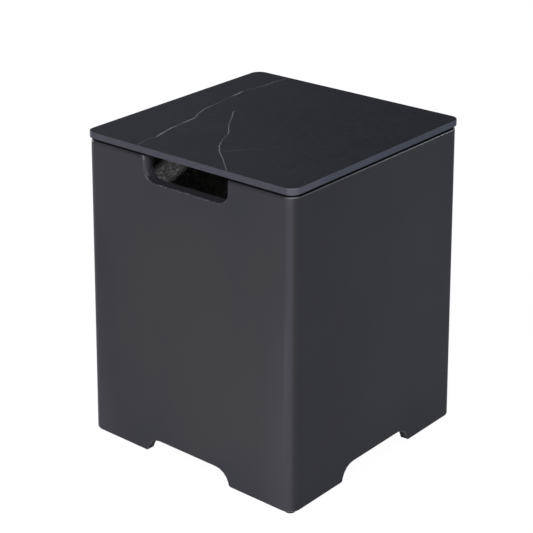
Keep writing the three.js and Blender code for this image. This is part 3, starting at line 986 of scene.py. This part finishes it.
def round_arrises(body):
    """Rounds the edges beside the outer faces, each by its own width.

    One bevel does it, with the widest width, and each edge's weight is its share of that.
    """
    widest = max(ARRIS_ROUNDING, WORN_ROUNDING, FOOT_ROUNDING, ARCH_END_ROUNDING)
    activate(body)
    bpy.ops.object.mode_set(mode="EDIT")
    keep = INNER_RIM_HALF + ARRIS_ROUNDING

    def is_arris(edge):
        return is_sharp(edge) and all(max(abs(v.co.x), abs(v.co.y)) > keep for v in edge.verts)

    def along_wall(point):
        """How far a point lies to the right of its wall's middle, seen from outside."""
        if abs(point.y) > abs(point.x):
            return math.copysign(1, -point.y) * point.x
        return math.copysign(1, point.x) * point.y

    def runs_through_wall(edge, level, offset, from_middle):
        middle = middle_of(edge)
        at_end = abs(abs(along_wall(middle) - offset) - from_middle) < NEAR
        return abs(middle.z - level) < NEAR and at_end

    def is_worn(edge):
        x, y, z = middle_of(edge)
        at_left_end = -NEAR < x - SLOT_LEFT_END < SLOT_CORNER_RADIUS
        return is_arris(edge) and at_left_end and y < 0 and SILL_LEVEL < z < RIM_LEVEL - NEAR

    def weigh(test, width):
        """Adds a width to what the edges that pass a test have."""
        pick(body, "EDGE", test)
        bpy.ops.transform.edge_bevelweight(value=width / widest)

    weigh(is_arris, ARRIS_ROUNDING)
    weigh(lambda edge: is_arris(edge) and abs(middle_of(edge).z - FOOT_LEVEL) < NEAR,
          FOOT_ROUNDING - ARRIS_ROUNDING)
    weigh(lambda edge: runs_through_wall(edge, RIM_LEVEL, SLOT_OFFSET, SLOT_WIDTH / 2), ARRIS_ROUNDING)
    weigh(lambda edge: runs_through_wall(edge, FOOT_LEVEL, 0, ARCH_WIDTH / 2), ARCH_END_ROUNDING)
    for band in range(WORN_BANDS):
        low = RIM_LEVEL - SLOT_DEPTH * (1 - band / WORN_BANDS)
        high = low + SLOT_DEPTH / WORN_BANDS
        weigh(lambda edge: is_worn(edge) and low < middle_of(edge).z <= high,
              (WORN_ROUNDING - ARRIS_ROUNDING) * (band + 0.5) / WORN_BANDS)
    close_edit()
    modify(body, "BEVEL", limit_method="WEIGHT", width=widest, segments=ARRIS_SEGMENTS,
           use_clamp_overlap=False)


def make_body():
    """The hollow casting. Its outside is shaped first, and then the rough inside and the holes are cut."""
    body = leaning_block("casting", FOOT_LEVEL, RIM_LEVEL, FOOT_HALF, RIM_HALF)
    pick(body, "EDGE", is_upright)
    bevel(BODY_CORNER_RADIUS, CORNER_SEGMENTS)
    close_edit()
    cut(body, opening_cutters())
    round_arrises(body)
    holes = [stem_hole(f"rim_bumper_{corner}", BUMPER, RIM_LEVEL, -1) for corner in CORNERS]
    holes += [stem_hole(f"foot_glide_{corner}", GLIDE, FOOT_LEVEL, 1) for corner in CORNERS]
    inside = joined([rough_core(), *holes])
    for finish in (cast_face(), cast_inside()):
        body.data.materials.append(finish)
        inside.data.materials.append(finish)
    for face in inside.data.polygons:
        face.material_index = 1
    cut(body, inside)
    smooth(body)
    place_piece(body, "base", "cast_concrete", "cast_body")


# Slab

def make_slab():
    """The stone slab, with one finish round its edge, one on its face and one underneath."""
    slab = block("stone_slab", slab_low, slab_high)
    pick(slab, "EDGE", is_upright)
    bevel(SLAB_CORNER_RADIUS, CORNER_SEGMENTS)
    pick(slab, "EDGE", is_sharp)
    bevel(SLAB_EASING, EASING_SEGMENTS)
    close_edit()
    for finish in (stone_edge(), stone_top(), stone_back()):
        slab.data.materials.append(finish)
    for face in slab.data.polygons:
        if abs(face.normal.z) > LEVEL_FACE:
            face.material_index = 1 if face.normal.z > 0 else 2
    smooth(slab)
    place_piece(slab, "lid", "sintered_stone", "tabletop")


# Small pieces

def place_piece(piece, body, slot, *nodes):
    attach(piece, body)
    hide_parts(*nodes)


def button(name, size, height, finish):
    """A button with a barbed stem below its head, which sits on Z = 0."""
    stem = size["stem"] / 2
    head = size["diameter"] / 2
    tip = stem - BARB_HEIGHT
    low = -size["stem_length"]
    pitch = (size["stem_length"] - BARB_HEIGHT) / (BARB_COUNT + 1)
    profile = [(tip, low), (stem, low + BARB_HEIGHT)]
    for barb in range(BARB_COUNT):
        top = low + BARB_HEIGHT + pitch * barb + BARB_LENGTH
        profile += [(stem + BARB_HEIGHT, top), (stem, top), (stem, top + pitch - BARB_LENGTH)]
    dimple = DIMPLE_DIAMETER / 2
    profile += [(stem, 0), (head, 0), (head, height)]
    profile += [(dimple, height), (dimple - DIMPLE_DEPTH, height - DIMPLE_DEPTH)]
    piece = turned(name, profile)

    def is_head_edge(edge):
        out = middle_of(edge).xy.length
        return is_sharp(edge) and out > OUTER_SHARE * head and middle_of(edge).z > height / 2

    pick(piece, "EDGE", is_head_edge)
    bevel(size["easing"], ARRIS_SEGMENTS)
    bpy.ops.mesh.select_all(action="SELECT")
    bpy.ops.mesh.remove_doubles(threshold=MERGE_DISTANCE)
    bpy.ops.mesh.normals_make_consistent(inside=False)
    close_edit()
    piece.data.materials.append(finish)
    smooth(piece)
    return piece


def make_buttons():
    """A bumper in the rim and a glide under the foot at each corner. A glide has its head down."""
    bumper = button("bumper", BUMPER, slab_low.z - RIM_LEVEL, moulded("bumper_rubber", **RUBBER))
    glide = button("glide", GLIDE, FOOT_LEVEL, moulded("glide_nylon", **NYLON))
    head_up = Matrix.Identity(4)
    head_down = Matrix.Rotation(math.pi, 4, "X")
    for corner in CORNERS:
        for kind, pattern, node, face, turn, slot in (
            ("bumper", bumper, f"rim_bumper_{corner}", RIM_LEVEL, head_up, "bumper_rubber"),
            ("glide", glide, f"foot_glide_{corner}", FOOT_LEVEL, head_down, "glide_nylon"),
        ):
            low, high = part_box(node)
            spot = Vector(((low.x + high.x) / 2, (low.y + high.y) / 2, face))
            piece = copied(pattern, f"{kind}_{corner}", Matrix.Translation(spot) @ turn)
            place_piece(piece, "base", slot, node)
    for pattern in (bumper, glide):
        bpy.data.objects.remove(pattern)


def corner_plate(name, node, outer_radius, inner_radius):
    """A square plate in the front right corner with round corners, open for editing."""
    low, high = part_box(node)
    middle = (low + high) / 2

    def is_outer(edge):
        return middle_of(edge).x > middle.x and middle_of(edge).y < middle.y

    piece = block(name, low, high)
    pick(piece, "EDGE", lambda edge: is_upright(edge) and not is_outer(edge))
    bevel(inner_radius, EASING_SEGMENTS * 2)
    pick(piece, "EDGE", lambda edge: is_upright(edge) and is_sharp(edge) and is_outer(edge))
    bevel(outer_radius, CORNER_SEGMENTS)
    return piece


def make_locators():
    """A locator block with a pocket underneath, and the pad above it, at each corner."""
    block_node = "locator_block_front_right"
    pad_node = "bond_pad_front_right"
    locator = corner_plate("locator", block_node, LOCATOR_OUTER_RADIUS, LOCATOR_CORNER_RADIUS)
    pick(locator, "FACE", lambda face: face.normal.z < -ALONG_AXIS)
    bpy.ops.mesh.inset(thickness=LOCATOR_POCKET_RIM)
    bpy.ops.mesh.extrude_region_move(TRANSFORM_OT_translate={"value": (0, 0, LOCATOR_POCKET_DEPTH)})
    pick(locator, "EDGE", is_sharp)
    bevel(LOCATOR_EASING, EASING_SEGMENTS)
    close_edit()
    locator.data.materials.append(moulded("locator_plastic", **PLASTIC))
    smooth(locator)
    pad = corner_plate("pad", pad_node, BOND_OUTER_RADIUS, LOCATOR_EASING)
    close_edit()
    pad.data.materials.append(bond_foam())
    smooth(pad)
    for count, corner in enumerate(CORNERS):
        for kind, pattern, node, slot in (
            ("locator", locator, f"locator_block_{corner}", "locator_plastic"),
            ("foam_pad", pad, f"bond_pad_{corner}", "bond_foam"),
        ):
            piece = copied(pattern, f"{kind}_{corner}", quarter_turn(count))
            place_piece(piece, "lid", slot, node)
    for pattern in (locator, pad):
        bpy.data.objects.remove(pattern)


# Stage

FLOOR_SIZE = 8
FILL_TARGET = (0.13, -FOOT_HALF, 0.075)  # low on the front
LAMPS = {
    "key": {"target": OBJECT_MIDDLE, "azimuth": 10, "elevation": 38, "distance": 7,
            "size": 3.4, "power": 388, "colour": (1, 0.985, 0.96)},
    "left": {"target": OBJECT_MIDDLE, "azimuth": -92, "elevation": 10, "distance": 4,
             "size": 1.2, "power": 126, "colour": (0.98, 0.98, 1)},
    "fill": {"target": FILL_TARGET, "azimuth": 8, "elevation": -5, "distance": 0.42,
             "size": 0.16, "power": 0.50, "colour": (1, 0.99, 1.02)},
    "low_back": {"target": LIT_PATCH, "azimuth": 145, "elevation": 15, "distance": 3.2,
                 "size": 0.14, "power": 40, "colour": (0.89, 0.95, 1.03)},
}


def make_stage():
    deselect_all()
    bpy.ops.mesh.primitive_plane_add(size=FLOOR_SIZE)
    floor = bpy.context.active_object
    floor.name = "floor"
    floor.data.materials.append(floor_white())
    make_world()
    for name, settings in LAMPS.items():
        make_lamp(name, **settings)


make_camera()
make_body()
make_slab()
make_buttons()
make_locators()
make_stage()

bpy.context.scene.view_settings.view_transform = "Standard"
